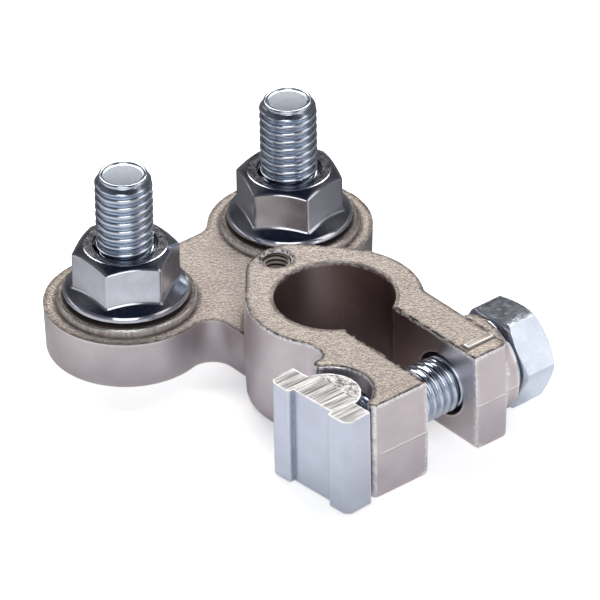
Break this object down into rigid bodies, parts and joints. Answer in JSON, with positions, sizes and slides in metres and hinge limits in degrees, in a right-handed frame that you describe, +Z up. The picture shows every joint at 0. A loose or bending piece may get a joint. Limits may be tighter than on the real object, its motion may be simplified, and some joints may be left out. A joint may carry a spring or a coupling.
{
  "type": "battery terminal clamp",
  "caption": "Cast clamp for a battery post, closed by a cross bolt with a captive nut, with upright stud terminals and flange nuts on round pads.",
  "frame": {"origin": "on the axis of the post bore, in the plane of the underside", "axes": "+Z up along the post bore towards the stud ends, +X from the bore along the clamping arms, +Y along the clamp bolt towards its head"},
  "size_m": [0.0633, 0.0518, 0.0276],
  "materials": {
    "plated_casting": "nickel plated brass casting, satin sides, finely grained top faces",
    "plated_bolt": "bright zinc plated steel",
    "plated_profile_nut": "zinc plated steel profile, sawn ends",
    "plated_stud": "bright zinc plated steel, matt end face",
    "plated_flange_nut": "polished zinc plated steel"
  },
  "bodies": {
    "casting": {"clamp_body": "plated_casting", "near_stud": "plated_stud", "far_stud": "plated_stud"},
    "bolt": {"clamp_bolt": "plated_bolt"},
    "profile_nut": {"clamp_nut": "plated_profile_nut"},
    "near_nut": {"near_flange_nut": "plated_flange_nut"},
    "far_nut": {"far_flange_nut": "plated_flange_nut"}
  },
  "joints": [
    {"name": "bolt_turn", "type": "hinge", "parent": "casting", "child": "bolt", "pos_m": [0.0171, 0, 0.0076], "axis": [0, 1, 0], "range_deg": [0, 1080]},
    {"name": "clamp_nut_travel", "type": "slide", "parent": "casting", "child": "profile_nut", "axis": [0, -1, 0], "range_m": [0, 0.00375]},
    {"name": "near_nut_turn", "type": "hinge", "parent": "casting", "child": "near_nut", "pos_m": [-0.0271, -0.01445, 0.0084], "axis": [0, 0, 1], "continuous": true},
    {"name": "far_nut_turn", "type": "hinge", "parent": "casting", "child": "far_nut", "pos_m": [-0.0271, 0.01445, 0.0084], "axis": [0, 0, 1], "continuous": true}
  ],
  "couplings": [
    {"joint": "clamp_nut_travel", "follows": "bolt_turn", "m_per_rad": 0.00019894}
  ]
}
